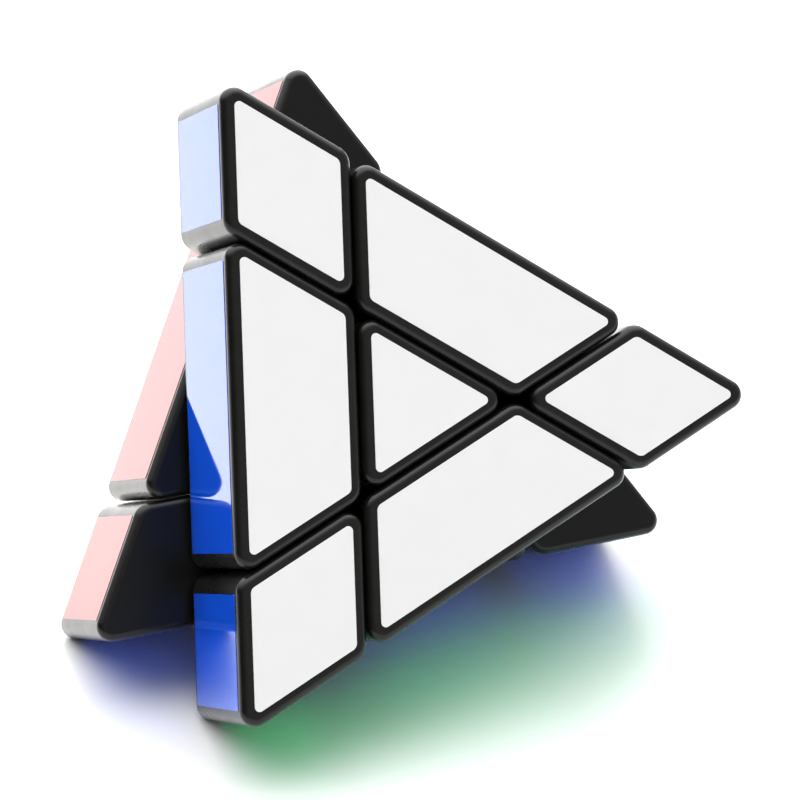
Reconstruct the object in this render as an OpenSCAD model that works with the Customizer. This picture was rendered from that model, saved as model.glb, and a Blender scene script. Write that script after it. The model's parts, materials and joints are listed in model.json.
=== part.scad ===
// Triangular twisty puzzle. Two triangular layers of seven pieces turn on a five-armed core.
// The front layer is caught part-way through a turn, and the puzzle stands on three corners.
// Every piece is drawn about the core's centre, with +Z out of the front face, and then stood up.

/* [Plates] */
// Length of each side of the triangular layers
side_length = 80; // [76:1:90]
// Distance from the middle plane to the front or the back face
layer_height = 21.5; // [21:0.5:25]
// Distance from the centre to each of the three cuts
cut_distance = 6.75; // [6.5:0.25:7.5]
// How far the back layer is turned against the front layer
rest_turn = 21.5; // [10:0.5:30]
// Gap between the two layers
layer_gap = 0.3; // [0.3:0.1:0.6]
// Gap between neighbouring pieces of one layer
piece_gap = 0.15; // [0.1:0.05:0.3]

/* [Shells] */
// Wall thickness of the hollow shells
wall = 1.6; // [1.2:0.1:1.6]
// Radius of the upright edges at 60 degree corners
acute_r = 1.9; // [1.8:0.1:2.2]
// Radius of the upright edges at 120 degree corners
obtuse_r = 2.4; // [1.8:0.1:2.6]
// Radius of the rims around the flat faces
rim_r = 1.1; // [0.8:0.1:1.2]

/* [Stickers] */
// Thickness of a sticker
sticker_t = 0.12; // [0.08:0.02:0.2]
// Plastic border left around a face sticker
sticker_border = 1.6; // [1.3:0.05:2]
// Corner radius of a face sticker at 60 degree corners
sticker_acute_r = 0.6; // [0.4:0.1:1]
// Corner radius of a face sticker at 120 degree corners
sticker_obtuse_r = 1; // [0.6:0.1:1.4]
// Plastic left between a side sticker and the rounding beside it
sticker_inset = 0.06; // [0.02:0.02:0.3]

/* [Mechanism] */
// Radius of the hollow ball inside the shells that holds the mechanism
ball_r = 18.5; // [18.5:0.1:18.8]
// Radius of the ball at the middle of the core
core_r = 6; // [5:0.5:6.5]
// Radius of each side hub's domed disc
hub_disc_r = 8.8; // [8:0.2:8.8]
// Shank radius of the tension screws
screw_r = 1.5; // [1.2:0.1:1.5]
// Wire radius of the tension springs
wire_r = 0.3; // [0.2:0.05:0.3]

/* [Hidden] */
round_fn = 64;

// plates
inradius = side_length / (2 * sqrt(3));
layer_low = layer_gap / 2;
arc_steps = 4;
rim_steps = 3;
acute_tangent = acute_r / tan(30);
obtuse_tangent = obtuse_r / tan(60);
cut_along_side = (cut_distance + inradius / 2) / sin(60);

// mechanism, as radii from the core's centre and heights above the middle plane
arm_r = 3.4;
arm_end = 7;
bore_start = 2.4;
thread_clearance = 0.02;
turning_clearance = 0.1;
stem_start = arm_end + 0.2;
hub_stem_r = 4;
center_stem_r = 4.2;
pocket_r = 2.9;
pocket_floor = 9.4;
washer_low = 12.1;
washer_t = 0.5;
head_r = 2.6;
head_h = 1.4;
slot_w = 0.7;
slot_l = 3;
slot_depth = 0.8;
hub_disc_low = 12.8;
hub_dome_r = 16.6;
foot_inner_r = 16.9;
foot_outer_r = ball_r - 0.1;
plug_r = 21;
foot_low = 0.45;
foot_high = 12.1;
foot_arm_low = 9.4;
foot_arm_end = 13.8;
toe_low = 4.4;
toe_in = 9.6;
toe_out = 12.4;
flange_r = 11.2;
flange_low = 12.4;
flange_high = 13.9;
center_top = 18.3;
cap_low = 18.4;
cap_peg_low = 15.4;
spring_turns = 3;
spring_coil_r = 2.2;
spring_low = pocket_floor + wire_r + 0.15;
spring_high = washer_low - wire_r - 0.02;
coil_steps = 12;
wire_sides = 6;

// The outline functions

function dir(a) = [cos(a), sin(a)];
function side_angle(k) = 180 + 120 * k;

// Point at distance di along side i's normal and dj along side j's normal
function meet(i, di, j, dj) =
    let (a = side_angle(i), b = side_angle(j), s = sin(b - a))
    [(di * sin(b) - dj * sin(a)) / s, (dj * cos(a) - di * cos(b)) / s];

// Corners of the three kinds of piece, counter-clockwise, drawn in from the sides and from the cuts
function corner_points(k, in_side, in_cut) =
    let (far = inradius - in_side, near = cut_distance + in_cut)
    [meet(k, far, k + 1, near), meet(k, far, k + 1, far), meet(k, near, k + 1, far), meet(k, near, k + 1, near)];
function edge_points(k, in_side, in_cut) =
    let (far = inradius - in_side, near = cut_distance + in_cut, end = cut_distance - in_cut)
    [meet(k - 1, end, k, far), meet(k, far, k + 1, end), meet(k, near, k + 1, end), meet(k - 1, end, k, near)];
function center_points(in_cut) =
    let (d = cut_distance - in_cut)
    [for (k = [0:2]) meet(k, d, k + 1, d)];

// Outline with rounded corners, drawn in by the given amount
function outline(points, acute, obtuse, drawn_in) =
    let (n = len(points))
    [for (i = [0:n - 1])
        let (
            before = points[i] - points[(i + n - 1) % n],
            after = points[(i + 1) % n] - points[i],
            a = atan2(-before.x, before.y),
            b = atan2(-after.x, after.y),
            turn = (b - a + 360) % 360,
            r = turn > 90 ? acute : obtuse,
            middle = points[i] - r * (dir(a) + dir(b)) / (1 + dir(a) * dir(b))
        )
        for (s = [0:arc_steps]) middle + (r - drawn_in) * dir(a + turn * s / arc_steps)
    ];

// The stance: the back layer's first two corners and the front layer's first corner carry the puzzle

corner_reach = 2 * (inradius - acute_r);
function corner_at(a, z) = [corner_reach * cos(a), corner_reach * sin(a), z];
back_foot = corner_at(240 - rest_turn, rim_r - layer_height);
right_foot = corner_at(-rest_turn, rim_r - layer_height);
front_foot = corner_at(240, rim_r + layer_low);
lift = cross(right_foot - back_foot, back_foot - front_foot);
up = lift / norm(lift);
tilt = acos(up.z);
spin = 90 - atan2(up.y, up.x);
all_corners = [
    for (a = [0, 120, 240]) for (z = [rim_r + layer_low, layer_height - rim_r])
        each [corner_at(a, z), corner_at(a - rest_turn, -z)]
];
function reach(d) = max([for (c = all_corners) c * d]) + rim_r + (acute_r - rim_r) * norm([d.x, d.y]);
right = [cos(spin), -sin(spin), 0];
away = [sin(spin) * cos(tilt), cos(spin) * cos(tilt), -sin(tilt)];
core_x = (reach(-right) - reach(right)) / 2;
core_y = (reach(-away) - reach(away)) / 2;
core_z = reach(-up);

module standing() {
    translate([core_x, core_y, core_z]) rotate([tilt, 0, 0]) rotate([0, 0, spin]) children();
}

module front_layer() {
    standing() children();
}

module back_layer() {
    standing() rotate([0, 0, -rest_turn]) mirror([0, 0, 1]) children();
}

// Places children, drawn along +Z, on axle 0 front, 1 back, 2 to 4 sides
module on_axle(i) {
    standing() rotate([0, 0, -rest_turn])
        if (i == 0) children();
        else if (i == 1) rotate([180, 0, 0]) children();
        else rotate([0, 0, side_angle(i - 2)]) rotate([0, 90, 0]) children();
}

// Shared shapes

module between(low, high) {
    translate([0, 0, low]) linear_extrude(high - low) children();
}

// Upright block with rounded corners and rounded rims
module rounded_block(points, low, high) {
    levels = [
        for (s = [0:rim_steps]) let (a = 90 * s / rim_steps) [rim_r * (1 - sin(a)), low + rim_r * (1 - cos(a))],
        for (s = [0:rim_steps]) let (a = 90 * s / rim_steps) [rim_r * (1 - cos(a)), high - rim_r * (1 - sin(a))]
    ];
    n = len(points) * (arc_steps + 1);
    rings = len(levels);
    polyhedron(
        points = [
            for (l = levels) for (p = outline(points, acute_r, obtuse_r, l[0])) [p.x, p.y, l[1]]
        ],
        faces = [
            [for (i = [0:n - 1]) i],
            for (r = [0:rings - 2]) for (i = [0:n - 1])
                [r * n + i, (r + 1) * n + i, (r + 1) * n + (i + 1) % n, r * n + (i + 1) % n],
            [for (i = [0:n - 1]) rings * n - 1 - i]
        ]
    );
}

module shell(points) {
    difference() {
        rounded_block(points, layer_low, layer_height);
        between(layer_low + wall, layer_height - wall) polygon(outline(points, acute_r, obtuse_r, wall));
        sphere(r = ball_r, $fn = round_fn);
    }
}

// Foot that plugs into a shell's open inner side. The arm runs under the centre's flange, and the
// toe reaches down inside the side hubs' discs.
module foot(points, a, plate_w, arm_w, toe_span) {
    difference() {
        union() {
            intersection() {
                sphere(r = foot_outer_r, $fn = round_fn);
                rotate([0, 0, a]) translate([toe_out, -plate_w / 2, foot_low])
                    cube([foot_outer_r, plate_w, foot_high - foot_low]);
            }
            intersection() {
                sphere(r = plug_r, $fn = round_fn);
                between(layer_low + wall + 0.1, foot_high)
                    polygon(outline(points, acute_r, obtuse_r, wall + 0.1));
                rotate([0, 0, a]) translate([toe_out, -plate_w / 2, 0]) cube([plug_r, plate_w, foot_high]);
            }
        }
        sphere(r = foot_inner_r, $fn = round_fn);
    }
    rotate([0, 0, a]) {
        translate([toe_in, -arm_w / 2, foot_arm_low])
            cube([foot_arm_end - toe_in, arm_w, foot_high - foot_arm_low]);
        arc_bar(toe_in, toe_out, toe_low, foot_arm_low + 0.1, toe_span);
    }
}

// Bar bent round the core's axis, centred on +X
module arc_bar(r_in, r_out, low, high, span) {
    intersection() {
        difference() {
            between(low, high) circle(r = r_out, $fn = round_fn);
            between(low - 1, high + 1) circle(r = r_in, $fn = round_fn);
        }
        between(low - 1, high + 1) polygon([[0, 0], 2 * r_out * dir(-span / 2), 2 * r_out * dir(span / 2)]);
    }
}

// Bore for the screw and the wider pocket for its spring, washer and head
module screw_way() {
    between(stem_start - 1, layer_height) circle(r = screw_r + turning_clearance, $fn = round_fn);
    between(pocket_floor, layer_height) circle(r = pocket_r, $fn = round_fn);
}

module face_sticker(points) {
    between(layer_height, layer_height + sticker_t)
        polygon(outline(points, sticker_acute_r, sticker_obtuse_r, 0));
}

module face_stickers() {
    for (k = [0:2]) {
        face_sticker(corner_points(k, sticker_border, sticker_border));
        face_sticker(edge_points(k, sticker_border, sticker_border));
    }
    face_sticker(center_points(sticker_border));
}

// The three stickers on side k
module side_stickers(k) {
    corner_from = cut_along_side + piece_gap / 2 + obtuse_tangent + sticker_inset;
    corner_to = side_length / 2 - acute_tangent - sticker_inset;
    edge_to = cut_along_side - piece_gap / 2 - acute_tangent - sticker_inset;
    low = layer_low + rim_r + sticker_inset;
    high = layer_height - rim_r - sticker_inset;
    for (span = [[-corner_to, -corner_from], [-edge_to, edge_to], [corner_from, corner_to]])
        rotate([0, 0, side_angle(k)]) translate([inradius, span[0], low])
            cube([sticker_t, span[1] - span[0], high - low]);
}

// The core and what is fixed to it

module core() {
    color("dimgray") difference() {
        union() {
            on_axle(0) sphere(r = core_r, $fn = round_fn);
            for (i = [0:4]) on_axle(i) cylinder(r = arm_r, h = arm_end, $fn = round_fn);
        }
        for (i = [0:4]) on_axle(i)
            between(bore_start, arm_end + 1) circle(r = screw_r + thread_clearance, $fn = round_fn);
    }
}

module tension_screws() {
    color("silver") for (i = [0:4]) on_axle(i) difference() {
        union() {
            between(bore_start + 0.1, washer_low + washer_t + 0.1) circle(r = screw_r, $fn = round_fn);
            between(washer_low + washer_t, washer_low + washer_t + head_h) circle(r = head_r, $fn = round_fn);
        }
        between(washer_low + washer_t + head_h - slot_depth, layer_height) {
            square([slot_w, slot_l], center = true);
            square([slot_l, slot_w], center = true);
        }
    }
}

module spring_washers() {
    color("gainsboro") for (i = [0:4]) on_axle(i) difference() {
        between(washer_low, washer_low + washer_t) circle(r = pocket_r - turning_clearance, $fn = round_fn);
        between(washer_low - 1, layer_height) circle(r = screw_r + turning_clearance, $fn = round_fn);
    }
}

// Coil spring swept along a helix
module spring(i) {
    steps = spring_turns * coil_steps;
    rise = spring_high - spring_low;
    slope = atan(rise / (360 * spring_turns * PI / 180 * spring_coil_r));
    color("lightsteelblue") on_axle(i) polyhedron(
        points = [
            for (s = [0:steps]) let (a = 360 * s / coil_steps, z = spring_low + rise * s / steps)
                for (w = [0:wire_sides - 1]) let (b = 360 * w / wire_sides, r = spring_coil_r + wire_r * cos(b))
                    [
                        r * cos(a) + wire_r * sin(b) * sin(slope) * sin(a),
                        r * sin(a) - wire_r * sin(b) * sin(slope) * cos(a),
                        z + wire_r * sin(b) * cos(slope)
                    ]
        ],
        faces = [
            [for (w = [0:wire_sides - 1]) w],
            for (s = [0:steps - 1]) for (w = [0:wire_sides - 1])
                let (next = (w + 1) % wire_sides, here = s * wire_sides, ahead = here + wire_sides)
                    [here + w, ahead + w, ahead + next, here + next],
            [for (w = [0:wire_sides - 1]) (steps + 1) * wire_sides - 1 - w]
        ]
    );
}

module side_hub(k) {
    color("darkslategray") on_axle(k + 2) difference() {
        union() {
            between(stem_start, hub_disc_low + 0.5) circle(r = hub_stem_r, $fn = round_fn);
            intersection() {
                sphere(r = hub_dome_r, $fn = round_fn);
                between(hub_disc_low, layer_height) circle(r = hub_disc_r, $fn = round_fn);
            }
        }
        screw_way();
    }
}

// Hidden piece between two side hubs, held by wings that reach inside their discs
module equator_piece(k) {
    head = [4, 6, 10];
    head_in = 13.2;
    neck = [3, 3, 7];
    wing_h = 7.2;
    wing_span = 68;
    color("slategray") standing() rotate([0, 0, side_angle(k) + 60 - rest_turn]) {
        intersection() {
            sphere(r = hub_dome_r, $fn = round_fn);
            translate([head_in, -head.y / 2, -head.z / 2]) cube(head);
        }
        translate([head_in - neck.x + 1, -neck.y / 2, -neck.z / 2]) cube(neck);
        arc_bar(toe_in + 0.6, toe_out, -wing_h / 2, wing_h / 2, wing_span);
    }
}

// The seven pieces of a layer

module center_piece() {
    difference() {
        union() {
            between(stem_start, flange_high) circle(r = center_stem_r, $fn = round_fn);
            between(flange_low, flange_high) circle(r = flange_r, $fn = round_fn);
            between(flange_high - 0.1, center_top)
                polygon(outline(center_points(piece_gap / 2), acute_r, obtuse_r, 0));
        }
        screw_way();
    }
}

module center_cap() {
    rounded_block(center_points(piece_gap / 2), cap_low, layer_height);
    between(cap_peg_low, cap_low + 0.5) circle(r = pocket_r - turning_clearance, $fn = round_fn);
}

module corner_shell(k) {
    shell(corner_points(k, 0, piece_gap / 2));
}

module corner_foot(k) {
    foot(corner_points(k, 0, piece_gap / 2), side_angle(k) + 60, 8.4, 5.2, 24);
}

module edge_shell(k) {
    shell(edge_points(k, 0, piece_gap / 2));
}

module edge_foot(k) {
    foot(edge_points(k, 0, piece_gap / 2), side_angle(k), 19, 8, 44);
}

plastic = "black";
inner_plastic = "dimgray";

core();
tension_screws();
spring_washers();
spring(0);  // front_spring
spring(1);  // back_spring
for (k = [0:2]) {
    spring(k + 2);
    side_hub(k);
    equator_piece(k);
}

color(inner_plastic) front_layer() center_piece();  // front_center
color(plastic) front_layer() center_cap();  // front_center_cap
color(inner_plastic) back_layer() center_piece();  // back_center
color(plastic) back_layer() center_cap();  // back_center_cap
for (k = [0:2]) {
    color(plastic) front_layer() corner_shell(k);
    color(inner_plastic) front_layer() corner_foot(k);
    color(plastic) front_layer() edge_shell(k);
    color(inner_plastic) front_layer() edge_foot(k);
    color(plastic) back_layer() corner_shell(k);
    color(inner_plastic) back_layer() corner_foot(k);
    color(plastic) back_layer() edge_shell(k);
    color(inner_plastic) back_layer() edge_foot(k);
}

color("white") front_layer() face_stickers();  // front_white_stickers
color("royalblue") front_layer() side_stickers(0);  // front_blue_stickers
color("green") front_layer() side_stickers(1);  // front_green_stickers
color("red") front_layer() side_stickers(2);  // front_red_stickers
color("yellow") back_layer() face_stickers();  // back_yellow_stickers
color("red") back_layer() side_stickers(0);  // back_red_stickers
color("royalblue") back_layer() side_stickers(1);  // back_blue_stickers
color("green") back_layer() side_stickers(2);  // back_green_stickers
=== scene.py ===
import json
import math

import bmesh
import bpy
from mathutils import Matrix, Vector


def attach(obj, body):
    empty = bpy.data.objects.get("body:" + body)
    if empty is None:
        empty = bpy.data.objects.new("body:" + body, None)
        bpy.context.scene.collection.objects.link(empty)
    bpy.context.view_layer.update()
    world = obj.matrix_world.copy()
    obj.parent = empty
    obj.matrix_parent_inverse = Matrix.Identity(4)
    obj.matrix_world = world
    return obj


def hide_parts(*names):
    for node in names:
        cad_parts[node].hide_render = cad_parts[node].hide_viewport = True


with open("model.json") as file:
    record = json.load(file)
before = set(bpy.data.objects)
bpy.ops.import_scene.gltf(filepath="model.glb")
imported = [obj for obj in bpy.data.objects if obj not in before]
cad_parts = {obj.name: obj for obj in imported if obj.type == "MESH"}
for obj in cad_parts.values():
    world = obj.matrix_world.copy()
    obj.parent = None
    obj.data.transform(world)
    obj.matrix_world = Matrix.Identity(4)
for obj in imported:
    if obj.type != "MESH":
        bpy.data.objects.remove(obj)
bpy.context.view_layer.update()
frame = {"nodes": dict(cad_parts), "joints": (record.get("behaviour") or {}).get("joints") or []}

# ---------------------------------------------------------------------------
# Sizes of the puzzle, in millimetres, as in the CAD part
# ---------------------------------------------------------------------------
MM = 0.001
SIDE_LENGTH = 80.0    # side of a layer's triangle, to its sharp corners
LAYER_HEIGHT = 21.5   # from the middle plane to a layer's face
CUT_DISTANCE = 6.75   # from the layer's axis to each cut
REST_TURN = 21.5      # degrees from the back layer to the front layer at rest
LAYER_LOW = 0.15      # from the middle plane to a shell
PIECE_GAP = 0.15      # between two pieces of one layer
WALL = 1.6
ACUTE_R = 1.9         # rounding of the upright edges at acute corners
OBTUSE_R = 2.4        # rounding of the upright edges at obtuse corners
RIM_R = 1.1           # rounding of a piece's rims
BALL_R = 18.5         # the ball round the mechanism, which every shell is cut to
CAP_LOW = 18.4
CAP_PEG_LOW = 15.4
CAP_PEG_R = 2.8
CAP_PEG_OVERLAP = 0.5
INRADIUS = SIDE_LENGTH / (2 * math.sqrt(3))

# Stickers
STICKER_T = 0.12
STICKER_BORDER = 1.6
STICKER_ACUTE_R = 0.6
STICKER_OBTUSE_R = 1.0
STICKER_SOFT = 0.035      # rounding of the sticker's own edge
SIDE_STICKER_T = 0.06
SIDE_STICKER_END = 0.06   # bare plastic between a side sticker and the upright rounding
SIDE_STICKER_RIM = 0.45   # bare plastic between a side sticker and the rim's rounding
SIDE_STICKER_R = 0.25
SIDE_STICKER_SOFT = 0.02

# A shell's faces whose middle is less than this above its lowest plane are matte: they are
# the ones that slide over the other layer.
MATTE_DEPTH = 0.05

# Mesh density
ARC_STEPS = 12
RIM_STEPS = 8
SOFT_STEPS = 3
SIDE_STICKER_ARC_STEPS = 4
PEG_STEPS = 48
BALL_SEGMENTS = 128
FLOOR_SEGMENTS = 4
SHARP_ANGLE = 32.0   # degrees between faces, above which a crease stays crisp
FLAT_WEIGHT = 100    # the larger faces alone set the shading at their edges

# ---------------------------------------------------------------------------
# The two layers' own frames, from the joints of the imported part
# ---------------------------------------------------------------------------
joints = {joint["name"]: joint for joint in frame["joints"]}
CORE = Vector(joints["front_layer_turn"]["pos_m"])
AXIS = Vector(joints["front_layer_turn"]["axis"]).normalized()
BACK_SIDE_0 = Vector(joints["side_hub_1_turn"]["axis"]).normalized()


def layer_matrix(layer):
    """From a layer's own frame, in mm with +z out of its face, to the shared frame, in metres."""
    x = -BACK_SIDE_0
    if layer == "front":
        x = Matrix.Rotation(math.radians(REST_TURN), 3, AXIS) @ x
    y = AXIS.cross(x)
    z = AXIS if layer == "front" else -AXIS
    turn = Matrix((x, y, z)).transposed().to_4x4()
    return Matrix.Translation(CORE) @ turn @ Matrix.Scale(MM, 4)


LAYER_BODY = {"front": "front_layer", "back": "core_and_back_layer"}
LAYER_MATRIX = {layer: layer_matrix(layer) for layer in LAYER_BODY}


# ---------------------------------------------------------------------------
# Outlines of the pieces
# ---------------------------------------------------------------------------
def unit(a):
    return Vector((math.cos(a), math.sin(a)))


def side_angle(k):
    """Direction in which side k of a layer faces."""
    return math.radians(180 + 120 * k)


def meet(i, di, j, dj):
    """The point at distance di along side i's normal and dj along side j's."""
    a, b = side_angle(i), side_angle(j)
    s = math.sin(b - a)
    x = (di * math.sin(b) - dj * math.sin(a)) / s
    y = (dj * math.cos(a) - di * math.cos(b)) / s
    return Vector((x, y))


def corner_points(k, in_side, in_cut):
    """Rhombic corner piece after side k, drawn in from the sides and from the cuts."""
    far, near = INRADIUS - in_side, CUT_DISTANCE + in_cut
    return [meet(k, far, k + 1, near), meet(k, far, k + 1, far),
            meet(k, near, k + 1, far), meet(k, near, k + 1, near)]


def edge_points(k, in_side, in_cut):
    """Trapezoid edge piece on side k, drawn in from the side and from the cuts."""
    far, near, end = INRADIUS - in_side, CUT_DISTANCE + in_cut, CUT_DISTANCE - in_cut
    return [meet(k - 1, end, k, far), meet(k, far, k + 1, end),
            meet(k, near, k + 1, end), meet(k - 1, end, k, near)]


def center_points(in_cut):
    """Triangular centre piece, drawn in from the cuts."""
    d = CUT_DISTANCE - in_cut
    return [meet(k, d, k + 1, d) for k in range(3)]


def outline(points, acute, obtuse, drawn_in=0.0, steps=ARC_STEPS):
    """Counter-clockwise outline with rounded corners, drawn in by drawn_in."""
    ring = []
    n = len(points)
    for i in range(n):
        before = points[i] - points[i - 1]
        after = points[(i + 1) % n] - points[i]
        a = math.atan2(-before.x, before.y)
        b = math.atan2(-after.x, after.y)
        turn = (b - a) % (2 * math.pi)
        radius = acute if turn > math.pi / 2 else obtuse
        middle = points[i] - radius * (unit(a) + unit(b)) / (1 + unit(a).dot(unit(b)))
        for s in range(steps + 1):
            ring.append(middle + (radius - drawn_in) * unit(a + turn * s / steps))
    return ring


# ---------------------------------------------------------------------------
# Mesh building
# ---------------------------------------------------------------------------
def loft(rings):
    """Closed mesh through rings of 3-D points that all have the same count."""
    mesh = bmesh.new()
    loops = [[mesh.verts.new(p) for p in ring] for ring in rings]
    for low, high in zip(loops, loops[1:]):
        n = len(low)
        for i in range(n):
            mesh.faces.new((low[i], low[(i + 1) % n], high[(i + 1) % n], high[i]))
    mesh.faces.new(list(reversed(loops[0])))
    mesh.faces.new(loops[-1])
    return mesh


def at_height(ring, z):
    return [Vector((p.x, p.y, z)) for p in ring]


def rounded_block(points, low, high):
    """Upright block with rounded corners and rounded rims."""
    quarter = [math.pi / 2 * s / RIM_STEPS for s in range(RIM_STEPS + 1)]
    rings = []
    for a in quarter:
        ring = outline(points, ACUTE_R, OBTUSE_R, RIM_R * (1 - math.sin(a)))
        rings.append(at_height(ring, low + RIM_R * (1 - math.cos(a))))
    for a in quarter:
        ring = outline(points, ACUTE_R, OBTUSE_R, RIM_R * (1 - math.cos(a)))
        rings.append(at_height(ring, high - RIM_R * (1 - math.sin(a))))
    return loft(rings)


def prism(ring, low, high):
    return loft([at_height(ring, low), at_height(ring, high)])


def circle(radius, steps):
    return [radius * unit(2 * math.pi * i / steps) for i in range(steps)]


def ball():
    mesh = bmesh.new()
    bmesh.ops.create_uvsphere(
        mesh, u_segments=BALL_SEGMENTS, v_segments=BALL_SEGMENTS // 2, radius=BALL_R)
    return mesh


def new_object(name, mesh):
    data = bpy.data.meshes.new(name)
    mesh.to_mesh(data)
    mesh.free()
    obj = bpy.data.objects.new(name, data)
    bpy.context.scene.collection.objects.link(obj)
    return obj


def apply_modifiers(obj):
    depsgraph = bpy.context.evaluated_depsgraph_get()
    result = bpy.data.meshes.new_from_object(obj.evaluated_get(depsgraph))
    obj.modifiers.clear()
    obj.data = result


def combine(obj, tools):
    """Boolean operations on obj with (tool, operation) pairs. The tools are removed."""
    for tool, operation in tools:
        boolean = obj.modifiers.new("boolean", "BOOLEAN")
        boolean.solver = "EXACT"
        boolean.operation = operation
        boolean.object = tool
    apply_modifiers(obj)
    for tool, _ in tools:
        bpy.data.objects.remove(tool)


def place(obj, layer):
    """Puts a piece drawn in its layer's frame where that layer is."""
    matrix = LAYER_MATRIX[layer]
    obj.data.transform(matrix)
    if matrix.determinant() < 0:
        obj.data.flip_normals()


def shade(obj):
    """Smooth shading with crisp creases and undisturbed flats."""
    for polygon in obj.data.polygons:
        polygon.use_smooth = True
    obj.data.set_sharp_from_angle(angle=math.radians(SHARP_ANGLE))
    weighted = obj.modifiers.new("weighted", "WEIGHTED_NORMAL")
    weighted.keep_sharp = True
    weighted.weight = FLAT_WEIGHT
    apply_modifiers(obj)


def finish_piece(obj, layer, node, slot):
    """Places and shades a piece, which replaces a CAD node and rides on its layer's body."""
    place(obj, layer)
    shade(obj)
    obj.data.materials.clear()
    obj.data.materials.append(MATERIALS[slot])
    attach(obj, LAYER_BODY[layer])
    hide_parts(node)


# ---------------------------------------------------------------------------
# Materials
# ---------------------------------------------------------------------------
NOISE_RANGE = (0.3, 0.7)   # nearly all of a noise lies in here

# Pattern scales are in features per metre, and depths in mm
PLASTIC_GLOSS_SCALE = 180
PLASTIC_TINT_SCALE = 420
PLASTIC_TINT = (0.8, 1.25)
PLASTIC_GRAIN_SCALE = 5200
PLASTIC_WAVE_SCALE = 120
PLASTIC_WAVE_DEPTH = 0.01
PLASTIC_WAVE_STRENGTH = 0.5
PLASTIC_COAT_ROUGHNESS = 0.16
PLASTIC_IOR = 1.52

VINYL_TINT_SCALE = 260
VINYL_GLOSS_SCALE = 150
VINYL_ROUGHNESS = (0.0315, 0.0675)
VINYL_PEEL_SCALE = 500
VINYL_PEEL_DEPTH = 0.0015
VINYL_PEEL_STRENGTH = 0.6
VINYL_COAT_ROUGHNESS = 0.03
VINYL_COAT_IOR = 1.5
VINYL_IOR = 1.52

STEEL_LINE_SCALE = 2500
STEEL_LINE_ROUGHNESS = 0.6
STEEL_LINE_DEPTH = 0.01
STEEL_GLOSS_SPREAD = (0.08, 0.12)   # below and above the steel's own roughness
STEEL_TINT_SCALE = 700
STEEL_TINT = (0.85, 1.1)


class Nodes:
    """A small helper that builds a node material around one Principled shader."""

    def __init__(self, name):
        self.material = bpy.data.materials.new(name)
        self.material.use_nodes = True
        self.tree = self.material.node_tree
        self.shader = next(n for n in self.tree.nodes if n.type == "BSDF_PRINCIPLED")
        self.coordinates = self.tree.nodes.new("ShaderNodeTexCoord").outputs["Object"]

    def give(self, node, sockets):
        """Links each named input of a node to an output, or sets it to a value."""
        for name, value in sockets.items():
            if hasattr(value, "links"):
                self.tree.links.new(value, node.inputs[name])
            else:
                node.inputs[name].default_value = value

    def add(self, kind, sockets):
        node = self.tree.nodes.new(kind)
        self.give(node, sockets)
        return node

    def noise(self, scale, detail, rough=0.5, stretch=None):
        """Noise with features about 1/scale metres across, from 0 to 1."""
        vector = self.coordinates
        if stretch:
            vector = self.add("ShaderNodeMapping", {"Vector": vector, "Scale": stretch}).outputs[0]
        sockets = {"Vector": vector, "Scale": scale, "Detail": detail, "Roughness": rough}
        return self.add("ShaderNodeTexNoise", sockets).outputs["Fac"]

    def spread(self, noise, low, high):
        """A noise made to run from low to high."""
        start, end = NOISE_RANGE
        sockets = {"Value": noise, "From Min": start, "From Max": end,
                   "To Min": low, "To Max": high}
        return self.add("ShaderNodeMapRange", sockets).outputs["Result"]

    def tint(self, noise, colour, factors):
        """The colour, varied by a noise between the two factors."""
        node = self.add("ShaderNodeValToRGB", {"Fac": noise})
        for element, position, factor in zip(node.color_ramp.elements, NOISE_RANGE, factors):
            element.position = position
            element.color = (*(min(1.0, c * factor) for c in colour), 1)
        return node.outputs["Color"]

    def bump(self, height, distance, strength=1.0, under=None):
        """Normal of a bumpy surface, on top of the normal under it."""
        sockets = {"Height": height, "Distance": distance, "Strength": strength}
        if under is not None:
            sockets["Normal"] = under
        return self.add("ShaderNodeBump", sockets).outputs["Normal"]

    def set(self, **sockets):
        """Gives the shader's own sockets. An underscore stands for a space in their names."""
        self.give(self.shader, {name.replace("_", " "): value for name, value in sockets.items()})
        return self.material


def moulded_plastic(name, colour, roughness, grain, gloss_spread=0.05, coat=0.0, ior=PLASTIC_IOR):
    """Moulded plastic: fine spark-eroded grain, cloudy gloss and a faint waviness of the wall."""
    n = Nodes(name)
    cloudy = n.noise(PLASTIC_GLOSS_SCALE, 3)
    tint = n.tint(n.noise(PLASTIC_TINT_SCALE, 4), colour, PLASTIC_TINT)
    rough = n.spread(cloudy, roughness - gloss_spread, roughness + gloss_spread)
    fine = n.bump(n.noise(PLASTIC_GRAIN_SCALE, 3), grain * MM)
    wave = n.noise(PLASTIC_WAVE_SCALE, 1)
    wavy = n.bump(wave, PLASTIC_WAVE_DEPTH * MM, PLASTIC_WAVE_STRENGTH, fine)
    n.set(Base_Color=tint, Roughness=rough, Normal=wavy, IOR=ior)
    return n.set(Coat_Weight=coat, Coat_Roughness=PLASTIC_COAT_ROUGHNESS, Coat_IOR=ior)


def vinyl(name, colour, tint_spread=0.03, coat=0.3):
    """Glossy vinyl film: a faint orange peel from the glue and tiny differences in ink."""
    n = Nodes(name)
    tint = n.tint(n.noise(VINYL_TINT_SCALE, 3), colour, (1 - tint_spread, 1 + tint_spread))
    rough = n.spread(n.noise(VINYL_GLOSS_SCALE, 3), *VINYL_ROUGHNESS)
    peel = n.bump(n.noise(VINYL_PEEL_SCALE, 2), VINYL_PEEL_DEPTH * MM, VINYL_PEEL_STRENGTH)
    n.set(Base_Color=tint, Roughness=rough, Normal=peel, IOR=VINYL_IOR)
    return n.set(Coat_Weight=coat, Coat_Roughness=VINYL_COAT_ROUGHNESS, Coat_IOR=VINYL_COAT_IOR)


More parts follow.
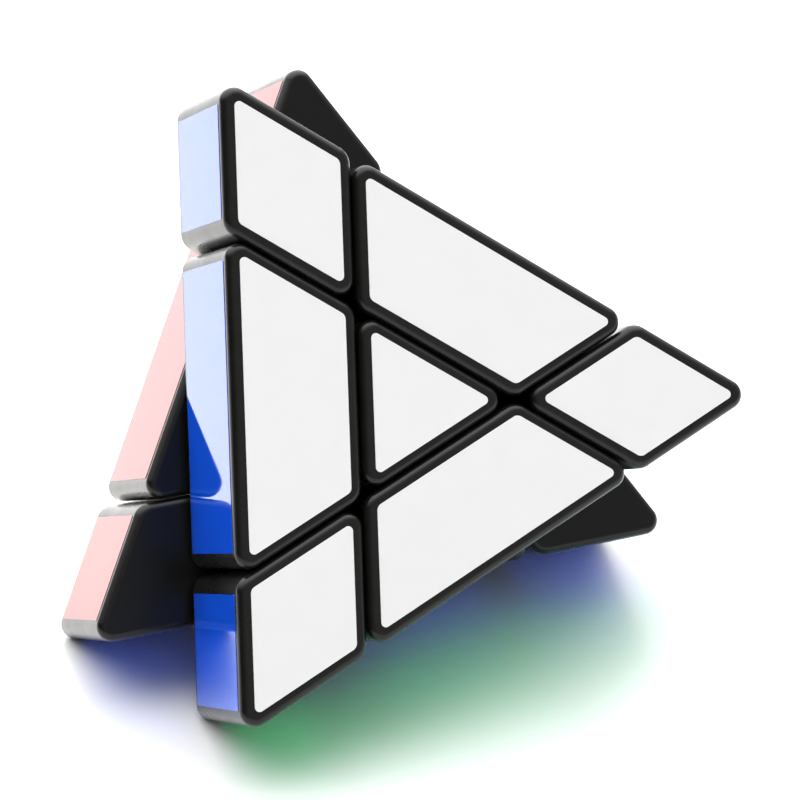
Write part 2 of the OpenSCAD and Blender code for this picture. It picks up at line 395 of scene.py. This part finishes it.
def steel(name, colour, roughness, stretch):
    """Plated or drawn steel with fine lines and slightly cloudy plating."""
    n = Nodes(name)
    lines = n.noise(STEEL_LINE_SCALE, 3, STEEL_LINE_ROUGHNESS, stretch)
    tint = n.tint(n.noise(STEEL_TINT_SCALE, 3), colour, STEEL_TINT)
    below, above = STEEL_GLOSS_SPREAD
    rough = n.spread(lines, roughness - below, roughness + above)
    fine = n.bump(lines, STEEL_LINE_DEPTH * MM)
    return n.set(Base_Color=tint, Roughness=rough, Normal=fine, Metallic=1.0)


MATTE_ABS = moulded_plastic(
    "matte_black_abs", (0.0024, 0.0026, 0.0022), 0.38, 0.008, coat=0.3, ior=1.42)
MATERIALS = {
    "shell_plastic": moulded_plastic(
        "black_abs", (0.0084, 0.0088, 0.0076), 0.30, 0.003, coat=0.80, ior=1.35),
    "foot_plastic": moulded_plastic("grained_black_abs", (0.02, 0.02, 0.022), 0.48, 0.012),
    "hub_plastic": moulded_plastic("grey_acetal", (0.33, 0.34, 0.36), 0.42, 0.008),
    "core_plastic": moulded_plastic("natural_acetal", (0.72, 0.72, 0.68), 0.40, 0.008),
    "screw_steel": steel("zinc_plated_steel", (0.62, 0.62, 0.64), 0.30, (1, 1, 1)),
    "washer_steel": steel("bright_steel", (0.66, 0.66, 0.67), 0.24, (1, 1, 0.2)),
    "spring_steel": steel("drawn_wire", (0.55, 0.56, 0.58), 0.28, (0.3, 1, 1)),
    "sticker_white": vinyl("white_vinyl", (0.89, 0.89, 0.89), tint_spread=0.004),
    "sticker_blue": vinyl("blue_vinyl", (0.0018, 0.122, 0.84), coat=0.93),
    "sticker_green": vinyl("green_vinyl", (0.001, 0.80, 0.26)),
    "sticker_red": vinyl("red_vinyl", (0.34, 0.006, 0.014), coat=0.56),
    "sticker_yellow": vinyl("yellow_vinyl", (0.83, 0.62, 0.015)),
}


# ---------------------------------------------------------------------------
# Moulded shells and caps
# ---------------------------------------------------------------------------
def make_shell(layer, kind, k, points):
    """Hollow shell of one corner or edge piece, open to the mechanism's ball, with a matte
    inner face."""
    mesh = rounded_block(points, LAYER_LOW, LAYER_HEIGHT)
    block = new_object(f"{layer}_{kind}_{k + 1}_housing", mesh)
    inside = outline(points, ACUTE_R, OBTUSE_R, WALL)
    hollow = new_object("hollow", prism(inside, LAYER_LOW + WALL, LAYER_HEIGHT - WALL))
    combine(block, [(hollow, "DIFFERENCE"), (new_object("ball", ball()), "DIFFERENCE")])
    matte = [polygon.center.z < LAYER_LOW + MATTE_DEPTH for polygon in block.data.polygons]
    finish_piece(block, layer, f"{layer}_{kind}_shell_{k + 1}", "shell_plastic")
    block.data.materials.append(MATTE_ABS)
    for polygon, is_matte in zip(block.data.polygons, matte):
        polygon.material_index = int(is_matte)


def make_cap(layer):
    """Triangular centre cap with its round peg."""
    points = center_points(PIECE_GAP / 2)
    cap = new_object(f"{layer}_center_cover", rounded_block(points, CAP_LOW, LAYER_HEIGHT))
    peg = prism(circle(CAP_PEG_R, PEG_STEPS), CAP_PEG_LOW, CAP_LOW + CAP_PEG_OVERLAP)
    combine(cap, [(new_object("peg", peg), "UNION")])
    finish_piece(cap, layer, f"{layer}_center_cap", "shell_plastic")


for layer in LAYER_BODY:
    for k in range(3):
        make_shell(layer, "corner", k, corner_points(k, 0, PIECE_GAP / 2))
        make_shell(layer, "edge", k, edge_points(k, 0, PIECE_GAP / 2))
    make_cap(layer)


# ---------------------------------------------------------------------------
# Stickers
# ---------------------------------------------------------------------------
FACE_COLOUR = {"front": "white", "back": "yellow"}
SIDE_COLOURS = {"front": ["blue", "green", "red"], "back": ["red", "blue", "green"]}


def sticker_steps(soft, thickness):
    """(drawn in, height) pairs from a sticker's foot up and over its softened top edge."""
    steps = [(0, 0)]
    for s in range(SOFT_STEPS + 1):
        a = math.pi / 2 * s / SOFT_STEPS
        steps.append((soft * (1 - math.cos(a)), thickness - soft * (1 - math.sin(a))))
    return steps


def finish_sticker(mesh, layer, colour, kind):
    sticker = new_object(f"{layer}_{colour}_{kind}_sticker", mesh)
    finish_piece(sticker, layer, f"{layer}_{colour}_stickers", f"sticker_{colour}")


def face_sticker(layer, kind, points):
    """Sticker on a layer's face, over the outline through the points."""
    rings = []
    for drawn_in, height in sticker_steps(STICKER_SOFT, STICKER_T):
        ring = outline(points, STICKER_ACUTE_R, STICKER_OBTUSE_R, drawn_in)
        rings.append(at_height(ring, LAYER_HEIGHT + height))
    finish_sticker(loft(rings), layer, FACE_COLOUR[layer], kind)


def side_sticker(layer, k, kind, start, end):
    """Sticker on side k, from start to end along the side."""
    out = Vector((*unit(side_angle(k)), 0))
    along = Vector((-out.y, out.x, 0))
    low = LAYER_LOW + RIM_R + SIDE_STICKER_RIM
    high = LAYER_HEIGHT - RIM_R - SIDE_STICKER_RIM
    rectangle = [Vector(p) for p in ((start, low), (end, low), (end, high), (start, high))]
    rings = []
    for drawn_in, height in sticker_steps(SIDE_STICKER_SOFT, SIDE_STICKER_T):
        ring = outline(rectangle, SIDE_STICKER_R, SIDE_STICKER_R, drawn_in, SIDE_STICKER_ARC_STEPS)
        base = out * (INRADIUS + height)
        rings.append([base + along * p.x + Vector((0, 0, p.y)) for p in ring])
    finish_sticker(loft(rings), layer, SIDE_COLOURS[layer][k], kind)


def make_stickers(layer):
    border = STICKER_BORDER
    for k in range(3):
        face_sticker(layer, f"corner_{k + 1}", corner_points(k, border, border))
        face_sticker(layer, f"edge_{k + 1}", edge_points(k, border, border))
    face_sticker(layer, "center", center_points(border))

    # Distances along a side, from its middle, to the upright roundings of its pieces
    acute_tangent = ACUTE_R / math.tan(math.radians(60 / 2))
    obtuse_tangent = OBTUSE_R / math.tan(math.radians(120 / 2))
    cut_along_side = (CUT_DISTANCE + INRADIUS / 2) / math.sin(math.radians(60))
    corner_from = cut_along_side + PIECE_GAP / 2 + obtuse_tangent + SIDE_STICKER_END
    corner_to = SIDE_LENGTH / 2 - acute_tangent - SIDE_STICKER_END
    edge_to = cut_along_side - PIECE_GAP / 2 - acute_tangent - SIDE_STICKER_END
    for k in range(3):
        side_sticker(layer, k, "low_corner_side", -corner_to, -corner_from)
        side_sticker(layer, k, "edge_side", -edge_to, edge_to)
        side_sticker(layer, k, "high_corner_side", corner_from, corner_to)


for layer in LAYER_BODY:
    make_stickers(layer)

# ---------------------------------------------------------------------------
# The mechanism keeps its CAD shapes and gets its materials
# ---------------------------------------------------------------------------
# A node takes the slot of the first of these words that is in its name.
MECHANISM_SLOTS = {
    "tension_screws": "screw_steel",
    "spring_washers": "washer_steel",
    "spring": "spring_steel",
    "hub": "hub_plastic",
    "equator": "foot_plastic",
    "foot": "foot_plastic",
    "center": "foot_plastic",
    "core": "core_plastic",
}

for name, node in frame["nodes"].items():
    slot = next((MECHANISM_SLOTS[word] for word in MECHANISM_SLOTS if word in name), None)
    if node.hide_render or slot is None:
        continue
    node.data.materials.clear()
    node.data.materials.append(MATERIALS[slot])

# ---------------------------------------------------------------------------
# Floor, light and camera
# ---------------------------------------------------------------------------
FLOOR_SIZE = 8.0   # metres
FLOOR_WHITE = 0.96
FLOOR_ROUGHNESS = 0.30
FLOOR_IOR = 1.5

# Each soft light rises from its first to its second level between two cosines
# of the angle to the direction that it comes from.
DOME_TOWARDS = Vector((0.0, 0.50, 0.87))
DOME_EDGE = (0.35, 0.95)
DOME_LEVELS = (0.0, 2.95)
FILL_TOWARDS = Vector((0.75, -0.62, 0.25))
FILL_EDGE = (-0.6, 0.75)
FILL_LEVELS = (0.05, 0.575)
BACKDROP_LEVEL = 1.0

CAMERA_SENSOR = 36.0
CAMERA_LENS = 153.34
CAMERA_CLIP = (0.01, 20)   # metres
CAMERA_PLACE = Vector((-139.54, -362.43, 236.17))   # mm
CAMERA_FORWARD = Vector((0.32516, 0.82118, -0.46897))
CAMERA_DOWN = Vector((-0.16958, -0.43724, -0.88321))
CAMERA_RIGHT = Vector((0.93033, -0.36671, 0.00292))
VIEW_GAMMA = 0.87


def make_floor():
    mesh = bmesh.new()
    bmesh.ops.create_grid(
        mesh, x_segments=FLOOR_SEGMENTS, y_segments=FLOOR_SEGMENTS, size=FLOOR_SIZE / 2)
    floor = new_object("floor", mesh)
    n = Nodes("white_acrylic")
    white = (FLOOR_WHITE, FLOOR_WHITE, FLOOR_WHITE, 1)
    floor.data.materials.append(n.set(Base_Color=white, Roughness=FLOOR_ROUGHNESS, IOR=FLOOR_IOR))


def make_world():
    """White studio: a wide soft light overhead, tipped to the back, a fill from the front right
    and a plain backdrop for the camera."""
    world = bpy.data.worlds.new("studio")
    bpy.context.scene.world = world
    world.use_nodes = True
    tree = world.node_tree
    background = tree.nodes["Background"]
    background.inputs["Color"].default_value = (1, 1, 1, 1)
    direction = tree.nodes.new("ShaderNodeTexCoord").outputs["Generated"]

    def soft_light(towards, edge, levels):
        """Brightness that rises smoothly over the sky, to its most in one direction."""
        facing = tree.nodes.new("ShaderNodeVectorMath")
        facing.operation = "DOT_PRODUCT"
        tree.links.new(direction, facing.inputs[0])
        facing.inputs[1].default_value = towards.normalized()
        node = tree.nodes.new("ShaderNodeMapRange")
        node.interpolation_type = "SMOOTHSTEP"
        tree.links.new(facing.outputs["Value"], node.inputs["Value"])
        for socket, number in zip(("From Min", "From Max", "To Min", "To Max"), (*edge, *levels)):
            node.inputs[socket].default_value = number
        return node.outputs["Result"]

    dome = soft_light(DOME_TOWARDS, DOME_EDGE, DOME_LEVELS)
    fill = soft_light(FILL_TOWARDS, FILL_EDGE, FILL_LEVELS)
    total = tree.nodes.new("ShaderNodeMath")
    tree.links.new(dome, total.inputs[0])
    tree.links.new(fill, total.inputs[1])
    backdrop = tree.nodes.new("ShaderNodeMix")
    light_path = tree.nodes.new("ShaderNodeLightPath")
    tree.links.new(light_path.outputs["Is Camera Ray"], backdrop.inputs["Factor"])
    tree.links.new(total.outputs[0], backdrop.inputs["A"])
    backdrop.inputs["B"].default_value = BACKDROP_LEVEL
    tree.links.new(backdrop.outputs["Result"], background.inputs["Strength"])


def make_camera():
    data = bpy.data.cameras.new("camera")
    data.sensor_width = CAMERA_SENSOR
    data.lens = CAMERA_LENS
    data.clip_start, data.clip_end = CAMERA_CLIP
    camera = bpy.data.objects.new("camera", data)
    bpy.context.scene.collection.objects.link(camera)
    turn = Matrix((CAMERA_RIGHT, -CAMERA_DOWN, -CAMERA_FORWARD)).transposed()
    camera.rotation_mode = "QUATERNION"
    camera.rotation_quaternion = turn.to_quaternion()
    camera.location = CAMERA_PLACE * MM
    bpy.context.scene.camera = camera


make_floor()
make_world()
make_camera()
bpy.context.scene.view_settings.view_transform = "Standard"
bpy.context.scene.view_settings.gamma = VIEW_GAMMA
